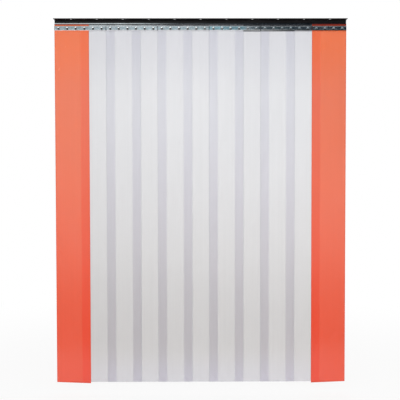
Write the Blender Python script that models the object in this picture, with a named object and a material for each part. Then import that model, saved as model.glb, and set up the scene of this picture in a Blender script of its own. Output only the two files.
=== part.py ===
"""PVC strip curtain for a doorway: a slotted steel mounting angle with welded studs, a zinc backing bar,
eleven punched and overlapping PVC strips in two layers, and six zinc clamp plates held by flange nuts.

Axes: +X along the rail, +Y into the wall, +Z up. The origin is the middle of the rail's wall face.
Lengths are in metres. Each strip is clamped at its head, and its blade bends just below the clamp.
"""

import math

import bmesh
import bpy

# Strips
STRIP_COUNT = 11
STRIP_WIDTH = 0.2032
STRIP_OVERLAP = 0.0508
STRIP_LENGTH = 2.1336
STRIP_THICKNESS = 0.00203
STRIP_HEAD = 0.0254
STRIP_EDGE_STEPS = 4
END_STRIP_CUT_DROP = 0.0080
BLADE_CROWN_SHARES = (0.33, 0.61, 0.87)

# Mounting angle, a rolled section with a filleted inner corner and rounded toes
VERTICAL_LEG = 0.0635
TOP_LEG = 0.0508
ANGLE_THICKNESS = 0.0032
ANGLE_FILLET = 0.0048
ANGLE_TOE_RADIUS = 0.0016
SLOT_WIDTH = 0.0095
SLOT_LENGTH = 0.0254
SLOT_FRONT_MARGIN = 0.0064

# Welded studs and flange nuts
STUDS_PER_STRIP_PITCH = 3
STUD_RADIUS = 0.00397
STUD_CHAMFER = 0.0009
STUD_PROJECTION = 0.0036
STUD_HOLE_CLEARANCE = 0.0008
NUT_ACROSS_FLATS = 0.0127
NUT_HEIGHT = 0.0082
NUT_CROWN_CHAMFER = 0.0008
NUT_FLANGE_WIDTH = 0.0018
NUT_FLANGE_RIM = 0.0013
NUT_FLANGE_CONE = 0.0017

# Backing bar, and clamp plates whose lower lip is flared away from the strips
BAR_HEIGHT = 0.04445
BAR_THICKNESS = 0.0019
BAR_CORNER_RADIUS = 0.0016
PLATE_HEIGHT = 0.0254
PLATE_THICKNESS = 0.0019
PLATE_BEND_RADIUS = 0.0010
PLATE_LIP_LENGTH = 0.0035
PLATE_LIP_DEGREES = 30
PLATE_JOINT_GAP = 0.0015
STUDS_PER_PLATE = 6

# Fits
CLEARANCE = 0.0003
HINGE_DROP = 0.0016
OVERRUN = 0.0020

# Facets round a full circle, and steps round a corner
STUD_HOLE_SIDES = 10
STUD_SIDES = 10
SLOT_SIDES = 12
FLANGE_SIDES = 16
CORNER_STEPS = 3
SHARP_EDGE_DEGREES = 32

# Layout along the rail
STRIP_PITCH = STRIP_WIDTH - STRIP_OVERLAP
STUD_PITCH = STRIP_PITCH / STUDS_PER_STRIP_PITCH
RAIL_LENGTH = STRIP_COUNT * STRIP_PITCH + STRIP_OVERLAP
STUD_COUNT = STRIP_COUNT * STUDS_PER_STRIP_PITCH + 1
PLATE_COUNT = math.ceil(STUD_COUNT / STUDS_PER_PLATE)

# Heights
RAIL_TOP = VERTICAL_LEG / 2
RAIL_BOTTOM = -VERTICAL_LEG / 2
STUD_LINE = RAIL_BOTTOM + PLATE_HEIGHT / 2
BAR_BOTTOM = RAIL_BOTTOM
BAR_TOP = BAR_BOTTOM + BAR_HEIGHT
STRIP_TOP = STUD_LINE + STRIP_HEAD
STRIP_BOTTOM = STRIP_TOP - STRIP_LENGTH
EDGE_RADIUS = STRIP_THICKNESS / 2
HINGE_LINE = RAIL_BOTTOM - HINGE_DROP

# Depths, from the wall towards the viewer
LEG_FRONT = -ANGLE_THICKNESS
BAR_REAR = LEG_FRONT - CLEARANCE
BAR_FRONT = BAR_REAR - BAR_THICKNESS
REAR_LAYER = BAR_FRONT - CLEARANCE - EDGE_RADIUS
FRONT_LAYER = REAR_LAYER - STRIP_THICKNESS - CLEARANCE
PLATE_REAR = FRONT_LAYER - EDGE_RADIUS - CLEARANCE
PLATE_FRONT = PLATE_REAR - PLATE_THICKNESS
NUT_FRONT = PLATE_FRONT - NUT_HEIGHT
STUD_TIP = NUT_FRONT - STUD_PROJECTION
STUD_HOLE_RADIUS = STUD_RADIUS + STUD_HOLE_CLEARANCE
NUT_BORE_RADIUS = STUD_RADIUS + CLEARANCE
NUT_FLANGE_RADIUS = NUT_ACROSS_FLATS / 2 + NUT_FLANGE_WIDTH


def stud_x(index):
    return (index - (STUD_COUNT - 1) / 2) * STUD_PITCH


def strip_x(index):
    return (index - (STRIP_COUNT - 1) / 2) * STRIP_PITCH


def arc(center, radius, start, stop, steps):
    """Points on an arc, from the start angle to the stop angle in degrees."""
    points = []
    for step in range(steps + 1):
        angle = math.radians(start + (stop - start) * step / steps)
        points.append((center[0] + radius * math.cos(angle), center[1] + radius * math.sin(angle)))
    return points


def circle(center, radius, sides, first_share=0.5):
    """A regular polygon. first_share turns it, counted in sides."""
    points = []
    for side in range(sides):
        angle = 2 * math.pi * (side + first_share) / sides
        points.append((center[0] + radius * math.cos(angle), center[1] + radius * math.sin(angle)))
    return points


def rounded_rectangle(low, high, radius):
    """A rectangle with its four corners rounded, counter-clockwise."""
    return (
        arc((high[0] - radius, high[1] - radius), radius, 0, 90, CORNER_STEPS)
        + arc((low[0] + radius, high[1] - radius), radius, 90, 180, CORNER_STEPS)
        + arc((low[0] + radius, low[1] + radius), radius, 180, 270, CORNER_STEPS)
        + arc((high[0] - radius, low[1] + radius), radius, 270, 360, CORNER_STEPS)
    )


def along_y(point, depth):
    return (point[0], depth, point[1])


def along_z(point, height):
    return (point[0], point[1], height)


def along_x(point, distance):
    return (distance, point[0], point[1])


def add_loft(mesh, rings):
    """Walls between closed rings of equally many points, and a cap on the first and the last ring."""
    rows = [[mesh.verts.new(point) for point in ring] for ring in rings]
    for lower, upper in zip(rows, rows[1:]):
        for index, vertex in enumerate(lower):
            following = (index + 1) % len(lower)
            mesh.faces.new((vertex, lower[following], upper[following], upper[index]))
    mesh.faces.new(rows[0][::-1])
    mesh.faces.new(rows[-1])


def add_prism(mesh, outline, place, start, stop):
    """An outline carried from start to stop along the axis that place sets."""
    add_loft(mesh, [[place(point, distance) for point in outline] for distance in (start, stop)])


def new_object(name, mesh, material, location=(0, 0, 0), parent=None):
    bmesh.ops.recalc_face_normals(mesh, faces=mesh.faces)
    data = bpy.data.meshes.new(name)
    mesh.to_mesh(data)
    mesh.free()
    data.materials.append(material)
    obj = bpy.data.objects.new(name, data)
    obj.location = location
    obj.parent = parent
    bpy.context.scene.collection.objects.link(obj)
    return obj


def add_tool(obj, mesh, operation):
    """Joins a shape to an object, or cuts it out. The shape is in the object's own frame."""
    material = obj.data.materials[0]
    tool = new_object(f"{obj.name}_{operation.lower()}", mesh, material, parent=obj)
    tool.hide_render = True
    tool.display_type = "WIRE"
    modifier = obj.modifiers.new(tool.name, "BOOLEAN")
    modifier.operation = operation
    modifier.solver = "EXACT"
    modifier.object = tool


def shade(obj):
    """Applies the object's cuts, then shades round faces smooth and keeps large flat faces flat."""
    tools = [modifier.object for modifier in obj.modifiers]
    depsgraph = bpy.context.evaluated_depsgraph_get()
    data = bpy.data.meshes.new_from_object(obj.evaluated_get(depsgraph))
    obj.modifiers.clear()
    obj.data = data
    for tool in tools:
        bpy.data.objects.remove(tool)
    data.shade_smooth()
    data.set_sharp_from_angle(angle=math.radians(SHARP_EDGE_DEGREES))
    weighting = obj.modifiers.new("weighted_normals", "WEIGHTED_NORMAL")
    weighting.keep_sharp = True
    return obj


def new_material(name, color, roughness, metallic=0.0, alpha=1.0):
    material = bpy.data.materials.new(name)
    material.use_nodes = True
    shader = material.node_tree.nodes["Principled BSDF"]
    shader.inputs["Base Color"].default_value = (*color, 1.0)
    shader.inputs["Roughness"].default_value = roughness
    shader.inputs["Metallic"].default_value = metallic
    shader.inputs["Alpha"].default_value = alpha
    return material


def stud_holes(indices, origin, start, stop):
    """Round cutters over the given studs, in a frame at the given origin."""
    cutters = bmesh.new()
    for index in indices:
        center = (stud_x(index) - origin[0], STUD_LINE - origin[2])
        outline = circle(center, STUD_HOLE_RADIUS, STUD_HOLE_SIDES)
        add_prism(cutters, outline, along_y, start - OVERRUN, stop + OVERRUN)
    return cutters


def make_mounting_angle(material, parent):
    """The rolled angle with bolt slots in its top leg, and studs welded to its vertical leg."""
    toe = ANGLE_TOE_RADIUS
    inner_corner = (LEG_FRONT - ANGLE_FILLET, RAIL_TOP - ANGLE_THICKNESS - ANGLE_FILLET)
    profile = [(0, RAIL_BOTTOM), (0, RAIL_TOP), (-TOP_LEG, RAIL_TOP)]
    top_toe = (-TOP_LEG + toe, RAIL_TOP - ANGLE_THICKNESS + toe)
    profile += arc(top_toe, toe, 180, 270, CORNER_STEPS)
    profile += arc(inner_corner, ANGLE_FILLET, 90, 0, CORNER_STEPS + 1)
    lower_toe = (LEG_FRONT + toe, RAIL_BOTTOM + toe)
    profile += arc(lower_toe, toe, 180, 270, CORNER_STEPS)
    body = bmesh.new()
    add_prism(body, profile, along_x, -RAIL_LENGTH / 2, RAIL_LENGTH / 2)
    angle = new_object("mounting_angle", body, material, parent=parent)

    cutters = bmesh.new()
    slot_front = -TOP_LEG + SLOT_FRONT_MARGIN + SLOT_WIDTH / 2
    slot_rear = slot_front + SLOT_LENGTH - SLOT_WIDTH
    for index in range(STRIP_COUNT):
        x = strip_x(index)
        slot = arc((x, slot_rear), SLOT_WIDTH / 2, 0, 180, SLOT_SIDES // 2)
        slot += arc((x, slot_front), SLOT_WIDTH / 2, 180, 360, SLOT_SIDES // 2)
        add_prism(cutters, slot, along_z, RAIL_TOP - ANGLE_THICKNESS - OVERRUN, RAIL_TOP + OVERRUN)
    add_tool(angle, cutters, "DIFFERENCE")

    studs = bmesh.new()
    for index in range(STUD_COUNT):
        center = (stud_x(index), STUD_LINE)
        shank = circle(center, STUD_RADIUS, STUD_SIDES)
        tip = circle(center, STUD_RADIUS - STUD_CHAMFER, STUD_SIDES)
        add_loft(
            studs,
            [
                [along_y(point, LEG_FRONT + ANGLE_THICKNESS / 2) for point in shank],
                [along_y(point, STUD_TIP + STUD_CHAMFER) for point in shank],
                [along_y(point, STUD_TIP) for point in tip],
            ],
        )
    add_tool(angle, studs, "UNION")
    return shade(angle)


def make_backing_bar(material, parent):
    """The bar over the studs that the strips are pressed against."""
    half = RAIL_LENGTH / 2
    body = bmesh.new()
    outline = rounded_rectangle((-half, BAR_BOTTOM), (half, BAR_TOP), BAR_CORNER_RADIUS)
    add_prism(body, outline, along_y, BAR_FRONT, BAR_REAR)
    bar = new_object("backing_bar", body, material, parent=parent)
    add_tool(bar, stud_holes(range(STUD_COUNT), (0, 0, 0), BAR_FRONT, BAR_REAR), "DIFFERENCE")
    return shade(bar)


def plate_profile():
    """A clamp plate's section, as depth and height: flat, with the lower lip bent towards the viewer."""
    turn = math.radians(PLATE_LIP_DEGREES)
    outer_radius = PLATE_BEND_RADIUS + PLATE_THICKNESS
    bend_line = -PLATE_HEIGHT / 2 + outer_radius * math.sin(turn) + PLATE_LIP_LENGTH * math.cos(turn)
    center = (-outer_radius, bend_line)
    rear = arc(center, outer_radius, 0, -PLATE_LIP_DEGREES, CORNER_STEPS)
    front = arc(center, PLATE_BEND_RADIUS, -PLATE_LIP_DEGREES, 0, CORNER_STEPS)
    reach = (-PLATE_LIP_LENGTH * math.sin(turn), -PLATE_LIP_LENGTH * math.cos(turn))
    rear_tip = (rear[-1][0] + reach[0], rear[-1][1] + reach[1])
    front_tip = (front[0][0] + reach[0], front[0][1] + reach[1])
    top = PLATE_HEIGHT / 2
    return [(0, top)] + rear + [rear_tip, front_tip] + front + [(-PLATE_THICKNESS, top)]


def make_front_plate(number, material, parent):
    """One clamp plate with its flange nuts, which are joined to it."""
    first = (number - 1) * STUDS_PER_PLATE
    last = min(first + STUDS_PER_PLATE, STUD_COUNT) - 1
    left = stud_x(first) - STUD_PITCH / 2 + PLATE_JOINT_GAP / 2
    right = stud_x(last) + STUD_PITCH / 2 - PLATE_JOINT_GAP / 2
    if first == 0:
        left = -RAIL_LENGTH / 2
    if last == STUD_COUNT - 1:
        right = RAIL_LENGTH / 2
    middle = (left + right) / 2
    half = (right - left) / 2
    body = bmesh.new()
    add_prism(body, plate_profile(), along_x, -half, half)
    plate = new_object(f"front_plate_{number}", body, material, (middle, PLATE_REAR, STUD_LINE), parent)

    flanges = bmesh.new()
    crowns = bmesh.new()
    bores = bmesh.new()
    inside = -PLATE_THICKNESS / 2
    seat = -PLATE_THICKNESS
    nut_corner = NUT_ACROSS_FLATS / 2 / math.cos(math.pi / 6)
    for index in range(first, last + 1):
        center = (stud_x(index) - middle, 0)
        rim = circle(center, NUT_FLANGE_RADIUS, FLANGE_SIDES)
        neck = circle(center, NUT_ACROSS_FLATS / 2, FLANGE_SIDES)
        add_loft(
            flanges,
            [
                [along_y(point, inside) for point in rim],
                [along_y(point, seat - NUT_FLANGE_RIM) for point in rim],
                [along_y(point, seat - NUT_FLANGE_RIM - NUT_FLANGE_CONE) for point in neck],
            ],
        )
        hexagon = circle(center, nut_corner, 6)
        crown = circle(center, nut_corner - NUT_CROWN_CHAMFER, 6)
        add_loft(
            crowns,
            [
                [along_y(point, inside) for point in hexagon],
                [along_y(point, seat - NUT_HEIGHT + NUT_CROWN_CHAMFER) for point in hexagon],
                [along_y(point, seat - NUT_HEIGHT) for point in crown],
            ],
        )
        bore = circle(center, NUT_BORE_RADIUS, STUD_HOLE_SIDES)
        add_prism(bores, bore, along_y, seat - NUT_HEIGHT - OVERRUN, OVERRUN)
    add_tool(plate, flanges, "UNION")
    add_tool(plate, crowns, "UNION")
    add_tool(plate, bores, "DIFFERENCE")
    return shade(plate)


def strip_section(half_width, half_thickness):
    """A strip's section seen from above, flat with two round edges."""
    straight = half_width - half_thickness
    right = arc((straight, 0), half_thickness, -90, 90, STRIP_EDGE_STEPS)
    left = arc((-straight, 0), half_thickness, 90, 270, STRIP_EDGE_STEPS)
    return right + left


def make_strip_top(index, material, parent):
    """The clamped head of a strip, punched over its studs."""
    layer = FRONT_LAYER if index % 2 == 0 else REAR_LAYER
    origin = (strip_x(index), layer, STUD_LINE)
    seam = HINGE_LINE + EDGE_RADIUS + CLEARANCE
    body = bmesh.new()
    section = strip_section(STRIP_WIDTH / 2, EDGE_RADIUS)
    add_prism(body, section, along_z, seam - STUD_LINE, STRIP_HEAD)
    top = new_object(f"strip_{index + 1:02d}_top", body, material, origin, parent)
    first = index * STUDS_PER_STRIP_PITCH
    studs = range(first, first + STUDS_PER_STRIP_PITCH + 1)
    cutters = stud_holes(studs, origin, -EDGE_RADIUS, EDGE_RADIUS)
    add_tool(top, cutters, "DIFFERENCE")
    return shade(top)


def make_strip_blade(index, material, top):
    """The hanging part of a strip. Its top edge is round about the line where the strip bends.

    The lower edge of an end strip is cut a little longer towards the middle of the curtain.
    """
    is_end = index in (0, STRIP_COUNT - 1)
    inward = 1 if index == 0 else -1
    cut_drop = END_STRIP_CUT_DROP if is_end else 0
    drop = HINGE_LINE - STRIP_BOTTOM
    half_width = STRIP_WIDTH / 2
    section = strip_section(half_width, EDGE_RADIUS)
    foot = []
    for x, y in section:
        across_share = (half_width + inward * x) / STRIP_WIDTH
        foot.append((x, y, -drop - cut_drop * across_share))
    rings = [foot, [along_z(point, 0) for point in section]]
    for turn_share in BLADE_CROWN_SHARES:
        half_thickness = EDGE_RADIUS * math.cos(turn_share * math.pi / 2)
        height = EDGE_RADIUS * math.sin(turn_share * math.pi / 2)
        rings.append([along_z(point, height) for point in strip_section(half_width, half_thickness)])
    body = bmesh.new()
    add_loft(body, rings)
    location = (0, 0, HINGE_LINE - STUD_LINE)
    return shade(new_object(f"strip_{index + 1:02d}", body, material, location, top))


def make_curtain():
    for old in list(bpy.data.objects):
        bpy.data.objects.remove(old)
    black = new_material("black_powder_coat", (0.012, 0.011, 0.012), 0.45)
    zinc = new_material("zinc_plate", (0.62, 0.65, 0.68), 0.25, metallic=1.0)
    clear = new_material("clear_pvc", (0.78, 0.80, 0.83), 0.12, alpha=0.35)
    orange = new_material("orange_pvc", (0.90, 0.13, 0.05), 0.18, alpha=0.85)
    curtain = bpy.data.objects.new("curtain", None)
    bpy.context.scene.collection.objects.link(curtain)
    make_mounting_angle(black, curtain)
    make_backing_bar(zinc, curtain)
    for index in range(STRIP_COUNT):
        sheet = orange if index in (0, STRIP_COUNT - 1) else clear
        top = make_strip_top(index, sheet, curtain)
        make_strip_blade(index, sheet, top)
    for number in range(1, PLATE_COUNT + 1):
        make_front_plate(number, zinc, curtain)


make_curtain()
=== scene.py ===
import math

import bmesh
import bpy
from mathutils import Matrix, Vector


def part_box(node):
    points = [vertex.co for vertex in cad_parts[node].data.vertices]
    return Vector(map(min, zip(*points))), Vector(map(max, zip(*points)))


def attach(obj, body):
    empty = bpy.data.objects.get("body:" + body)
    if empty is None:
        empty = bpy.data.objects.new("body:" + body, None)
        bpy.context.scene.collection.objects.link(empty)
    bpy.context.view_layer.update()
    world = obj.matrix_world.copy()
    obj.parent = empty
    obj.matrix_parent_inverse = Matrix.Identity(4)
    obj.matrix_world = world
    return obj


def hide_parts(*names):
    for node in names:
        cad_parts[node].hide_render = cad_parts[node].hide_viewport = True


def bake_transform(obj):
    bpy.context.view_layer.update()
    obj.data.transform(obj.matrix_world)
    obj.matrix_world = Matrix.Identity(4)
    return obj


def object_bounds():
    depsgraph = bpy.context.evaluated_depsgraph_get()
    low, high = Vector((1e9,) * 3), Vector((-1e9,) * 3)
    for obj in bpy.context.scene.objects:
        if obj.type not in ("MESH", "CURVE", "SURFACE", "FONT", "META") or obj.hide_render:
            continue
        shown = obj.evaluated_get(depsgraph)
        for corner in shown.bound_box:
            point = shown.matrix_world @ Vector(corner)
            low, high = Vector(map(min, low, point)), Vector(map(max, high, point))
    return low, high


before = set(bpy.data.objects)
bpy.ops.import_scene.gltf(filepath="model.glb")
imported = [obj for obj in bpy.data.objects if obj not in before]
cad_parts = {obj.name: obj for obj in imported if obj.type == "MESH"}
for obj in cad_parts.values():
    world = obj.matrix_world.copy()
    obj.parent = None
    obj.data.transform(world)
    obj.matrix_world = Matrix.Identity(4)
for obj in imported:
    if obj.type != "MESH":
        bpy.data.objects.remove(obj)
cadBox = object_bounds()
scene = bpy.context.scene

# Places that every piece shares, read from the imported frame
railLow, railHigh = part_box("mounting_angle")
barLow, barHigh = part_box("backing_bar")
plateLow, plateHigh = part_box("front_plate_1")
stripNames = sorted(name[:-len("_top")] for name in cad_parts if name.endswith("_top"))
plateNames = sorted(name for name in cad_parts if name.startswith("front_plate"))
stripBoxes = {name: (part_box(name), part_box(name + "_top")) for name in stripNames}
stripMiddles = [(stripBoxes[name][0][0].x + stripBoxes[name][0][1].x) / 2 for name in stripNames]
stripPitch = stripMiddles[1] - stripMiddles[0]
studsPerStrip = 3
studPitch = stripPitch / studsPerStrip
studCount = studsPerStrip * len(stripNames) + 1
studsPerPlate = round((plateHigh.x - plateLow.x) / studPitch)
studLine = (plateLow.z + plateHigh.z) / 2
roundTurn = 2 * math.pi
acrossWall = (math.pi / 2, 0.0, 0.0)


# Building geometry node and shader trees

def feedNode(tree, node, feeds):
    # a feed is a node, a socket, a plain value or a list of these, keyed by the name or number of the input
    for key, feed in feeds.items():
        for part in feed if isinstance(feed, list) else [feed]:
            if isinstance(part, bpy.types.Node):
                part = part.outputs[0]
            if isinstance(part, bpy.types.NodeSocket):
                tree.links.new(part, node.inputs[key])
            else:
                node.inputs[key].default_value = part


def addNode(tree, kind, feeds=None, **settings):
    node = tree.nodes.new(kind)
    for setting, value in settings.items():
        setattr(node, setting, value)
    feedNode(tree, node, feeds or {})
    return node


def calc(tree, operation, *feeds, clamped=False):
    return addNode(tree, "ShaderNodeMath", dict(enumerate(feeds)), operation=operation, use_clamp=clamped)


def product(tree, first, *others):
    for other in others:
        first = calc(tree, "MULTIPLY", first, other)
    return first


def vector(tree, x=0.0, y=0.0, z=0.0):
    return addNode(tree, "ShaderNodeCombineXYZ", {"X": x, "Y": y, "Z": z})


def axes(tree, place):
    return addNode(tree, "ShaderNodeSeparateXYZ", {0: place}).outputs


def newTree(name, kind, inputs, outputs):
    # inputs and outputs are lists of labels, keyed by the kind of their sockets
    tree = bpy.data.node_groups.new(name, kind)
    for side, sockets in (("INPUT", inputs), ("OUTPUT", outputs)):
        for socket, labels in sockets.items():
            for label in labels:
                tree.interface.new_socket(label, in_out=side, socket_type="NodeSocket" + socket)
    return tree, tree.nodes.new("NodeGroupInput").outputs


def newShape(name, inputs):
    return newTree(name, "GeometryNodeTree", inputs, {"Geometry": ["Geometry"]})


def closeTree(tree, feeds):
    addNode(tree, "NodeGroupOutput", feeds)
    return tree


def closeShape(tree, geometry, sizes):
    real = addNode(tree, "GeometryNodeRealizeInstances", {"Geometry": geometry})
    painted = addNode(tree, "GeometryNodeSetMaterial", {"Geometry": real, "Material": sizes["Material"]})
    return closeTree(tree, {"Geometry": painted})


def newPiece(name, mesh=None):
    piece = bpy.data.objects.new(name, bpy.data.meshes.new(name))
    if mesh:
        bmesh.ops.recalc_face_normals(mesh, faces=mesh.faces)
        mesh.to_mesh(piece.data)
        mesh.free()
    scene.collection.objects.link(piece)
    return piece


def shapeWith(piece, tree, sizes):
    modifier = piece.modifiers.new(tree.name, "NODES")
    modifier.node_group = tree
    for item in tree.interface.items_tree:
        if item.in_out == "INPUT" and item.name in sizes:
            modifier[item.identifier] = sizes[item.name]


edgeFinish = {
    "sharpDegrees": 32,
    "bevelSegments": 2,
}


def settle(piece, bevel=0.0):
    # the trees' result becomes a plain mesh, then small bevels finish its edges
    sharpAngle = math.radians(edgeFinish["sharpDegrees"])
    depsgraph = bpy.context.evaluated_depsgraph_get()
    shaped = bpy.data.meshes.new_from_object(piece.evaluated_get(depsgraph))
    piece.modifiers.clear()
    piece.data = shaped
    shaped.name = piece.name
    shaped.shade_smooth()
    if bevel:
        soften = piece.modifiers.new("softEdges", "BEVEL")
        soften.width = bevel
        soften.segments = edgeFinish["bevelSegments"]
        soften.limit_method = "ANGLE"
        soften.angle_limit = sharpAngle
        soften.harden_normals = True
    else:
        shaped.set_sharp_from_angle(angle=sharpAngle)
    weighting = piece.modifiers.new("flatFaces", "WEIGHTED_NORMAL")
    weighting.keep_sharp = True
    return piece


# Shapes that several trees share

def cylinder(tree, sides, radius, depth, rows=1):
    return addNode(tree, "GeometryNodeMeshCylinder", {
        "Vertices": sides, "Side Segments": rows, "Radius": radius, "Depth": depth})


def shifted(tree, geometry, place=(0.0, 0.0, 0.0), turn=(0.0, 0.0, 0.0)):
    return addNode(tree, "GeometryNodeTransform", {
        "Geometry": geometry, "Translation": place, "Rotation": turn})


def raised(tree, geometry, height):
    return shifted(tree, geometry, vector(tree, z=height))


def combined(tree, operation, feeds):
    return addNode(tree, "GeometryNodeMeshBoolean", feeds, operation=operation, solver="EXACT")


def spacedRow(tree, count, pitch):
    # points along X, centred on the origin
    start = product(tree, calc(tree, "SUBTRACT", count, 1.0), pitch, -0.5)
    return addNode(tree, "GeometryNodeMeshLine", {
        "Count": count, "Start Location": vector(tree, start), "Offset": vector(tree, pitch)}, mode="OFFSET")


holeSides = 32


def holeRowTree():
    # a row of round cutters, drawn out into slots where Stretch is above zero
    tree, sizes = newShape("holeRow", {"Int": ["Count"], "Float": ["Pitch", "Radius", "Stretch", "Depth"]})
    drill = cylinder(tree, holeSides, sizes["Radius"], sizes["Depth"])
    shift = product(tree, sizes["Stretch"], 0.5)
    ends = [shifted(tree, drill, vector(tree, y=end)) for end in (shift, product(tree, shift, -1.0))]
    both = addNode(tree, "GeometryNodeJoinGeometry", {"Geometry": ends})
    cutter = addNode(tree, "GeometryNodeConvexHull", {"Geometry": both})
    row = spacedRow(tree, sizes["Count"], sizes["Pitch"])
    placed = addNode(tree, "GeometryNodeInstanceOnPoints", {"Points": row, "Instance": cutter})
    return closeTree(tree, {"Geometry": addNode(tree, "GeometryNodeRealizeInstances", {"Geometry": placed})})


def cutRow(tree, geometry, sizes):
    # takes the row of cutters out of the geometry, after turning and placing it
    labels = [label for label in ("Count", "Pitch", "Radius", "Stretch", "Depth") if label in sizes]
    row = addNode(tree, "GeometryNodeGroup", {label: sizes[label] for label in labels}, node_tree=holeRow)
    placed = shifted(tree, row, sizes["Middle"], sizes["Turn"])
    return combined(tree, "DIFFERENCE", {"Mesh 1": geometry, "Mesh 2": placed})


def punchedTree():
    tree, sizes = newShape("punched", {
        "Geometry": ["Geometry"], "Int": ["Count"], "Float": ["Pitch", "Radius", "Stretch", "Depth"],
        "Vector": ["Middle"], "Rotation": ["Turn"], "Material": ["Material"]})
    return closeShape(tree, cutRow(tree, sizes["Geometry"], sizes), sizes)


def standInRow(tree, part, sizes):
    # copies of a part that points along Z, each with a spin of its own, in a row that points off the wall
    spin = addNode(tree, "FunctionNodeRandomValue", {3: roundTurn, "Seed": sizes["Seed"]})
    row = spacedRow(tree, sizes["Count"], sizes["Pitch"])
    placed = addNode(tree, "GeometryNodeInstanceOnPoints", {"Points": row, "Instance": part})
    turn = addNode(tree, "FunctionNodeEulerToRotation", {0: vector(tree, z=spin.outputs[1])})
    spun = addNode(tree, "GeometryNodeRotateInstances", {
        "Instances": placed, "Rotation": turn, "Local Space": True})
    upright = addNode(tree, "GeometryNodeRotateInstances", {
        "Instances": spun, "Rotation": acrossWall, "Local Space": False})
    return closeShape(tree, shifted(tree, upright, sizes["Middle"]), sizes)


holeRow = holeRowTree()
punched = punchedTree()


def arc(center, radius, start, stop, steps):
    points = []
    for step in range(steps + 1):
        angle = math.radians(start + (stop - start) * step / steps)
        points.append((center[0] + radius * math.cos(angle), center[1] + radius * math.sin(angle)))
    return points


def prism(outline, axis, start, stop):
    # an outline carried along X, or along Y
    mesh = bmesh.new()
    rows = []
    for distance in (start, stop):
        places = [(distance, a, b) if axis == "x" else (a, distance, b) for a, b in outline]
        rows.append([mesh.verts.new(place) for place in places])
    for index, vertex in enumerate(rows[0]):
        following = (index + 1) % len(outline)
        mesh.faces.new((vertex, rows[0][following], rows[1][following], rows[1][index]))
    mesh.faces.new(rows[0][::-1])
    mesh.faces.new(rows[1])
    return mesh


# Shared surface effects. In the looks below, a noise is its scale, detail and roughness, and a range or band
# is the two values between which something grows or fades, with two more where it doesn't run from 0 to 1.

def objectPlace(tree):
    return tree.nodes.new("ShaderNodeTexCoord").outputs["Object"]


def noiseField(tree, place, scale, detail, roughness=0.5):
    return addNode(tree, "ShaderNodeTexNoise", {
        "Vector": place, "Scale": scale, "Detail": detail, "Roughness": roughness})


def remap(tree, value, low, high, toLow=0.0, toHigh=1.0, smooth=False):
    return addNode(tree, "ShaderNodeMapRange", {
        "Value": value, "From Min": low, "From Max": high, "To Min": toLow, "To Max": toHigh},
        interpolation_type="SMOOTHSTEP" if smooth else "LINEAR")


def fade(tree, value, low, high):
    return remap(tree, value, low, high, 1.0, 0.0, smooth=True)


def mixColors(tree, factor, first, second, blend="MIX"):
    # the colour sockets of a Mix node are numbers 6 and 7, and its colour output is number 2
    mix = addNode(tree, "ShaderNodeMix", {0: factor, 6: first, 7: second}, data_type="RGBA", blend_type=blend)
    return mix.outputs[2]


def stretched(tree, place, scale):
    return addNode(tree, "ShaderNodeVectorMath", {0: place, 1: scale}, operation="MULTIPLY")


def newEffect(name, floats, results):
    return newTree(name, "ShaderNodeTree", {"Vector": ["Place"], "Float": floats}, {"Float": results})


def useEffect(tree, effect, place, feeds):
    return addNode(tree, "ShaderNodeGroup", {"Place": place, **feeds}, node_tree=effect).outputs


grainLook = {
    "fine": (4.0, 0.6),
    "driftDetail": 3.0,
    "fineShare": 0.35,
    "wanderRange": (0.45, 0.9),
}


def grainEffect():
    # fine grain: a height for bump, and a roughness that wanders between two values
    tree, given = newEffect("fineGrain", ["Scale", "Drift Scale", "Roughness Low", "Roughness High"],
                            ["Height", "Roughness"])
    fine = noiseField(tree, given["Place"], given["Scale"], *grainLook["fine"])
    drift = noiseField(tree, given["Place"], given["Drift Scale"], grainLook["driftDetail"])
    both = calc(tree, "ADD", product(tree, fine, grainLook["fineShare"]), drift)
    spread = calc(tree, "SUBTRACT", given["Roughness High"], given["Roughness Low"])
    rough = calc(tree, "MULTIPLY_ADD", remap(tree, both, *grainLook["wanderRange"]), spread,
                 given["Roughness Low"])
    return closeTree(tree, {"Height": fine, "Roughness": rough})


wearLook = {
    "proudRange": (0.52, 0.62),
    "patches": (5.0, 0.65),
    "patchRange": (0.42, 0.62),
}


def wearEffect():
    # wear where an edge sticks out, broken up by noise
    tree, given = newEffect("edgeWear", ["Amount", "Scale"], ["Wear"])
    geometry = tree.nodes.new("ShaderNodeNewGeometry")
    proud = remap(tree, geometry.outputs["Pointiness"], *wearLook["proudRange"], smooth=True)
    noise = noiseField(tree, given["Place"], given["Scale"], *wearLook["patches"])
    patches = remap(tree, noise, *wearLook["patchRange"])
    return closeTree(tree, {"Wear": product(tree, proud, patches, given["Amount"])})


dustLook = {
    "levelRange": (0.35, 0.95),
    "cloud": (35.0, 6.0, 0.62),
    "cloudRange": (0.32, 0.68),
}


def dustEffect():
    # dust that settles on what faces up
    tree, given = newEffect("settledDust", ["Amount"], ["Dust"])
    geometry = tree.nodes.new("ShaderNodeNewGeometry")
    facing = axes(tree, geometry.outputs["Normal"])
    level = remap(tree, facing["Z"], *dustLook["levelRange"], smooth=True)
    cloud = remap(tree, noiseField(tree, given["Place"], *dustLook["cloud"]), *dustLook["cloudRange"])
    return closeTree(tree, {"Dust": product(tree, level, cloud, given["Amount"])})


grain = grainEffect()
edgeWear = wearEffect()
settledDust = dustEffect()


def newMaterial(name):
    material = bpy.data.materials.new(name)
    material.use_nodes = True
    return material, material.node_tree, material.node_tree.nodes["Principled BSDF"]


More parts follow.
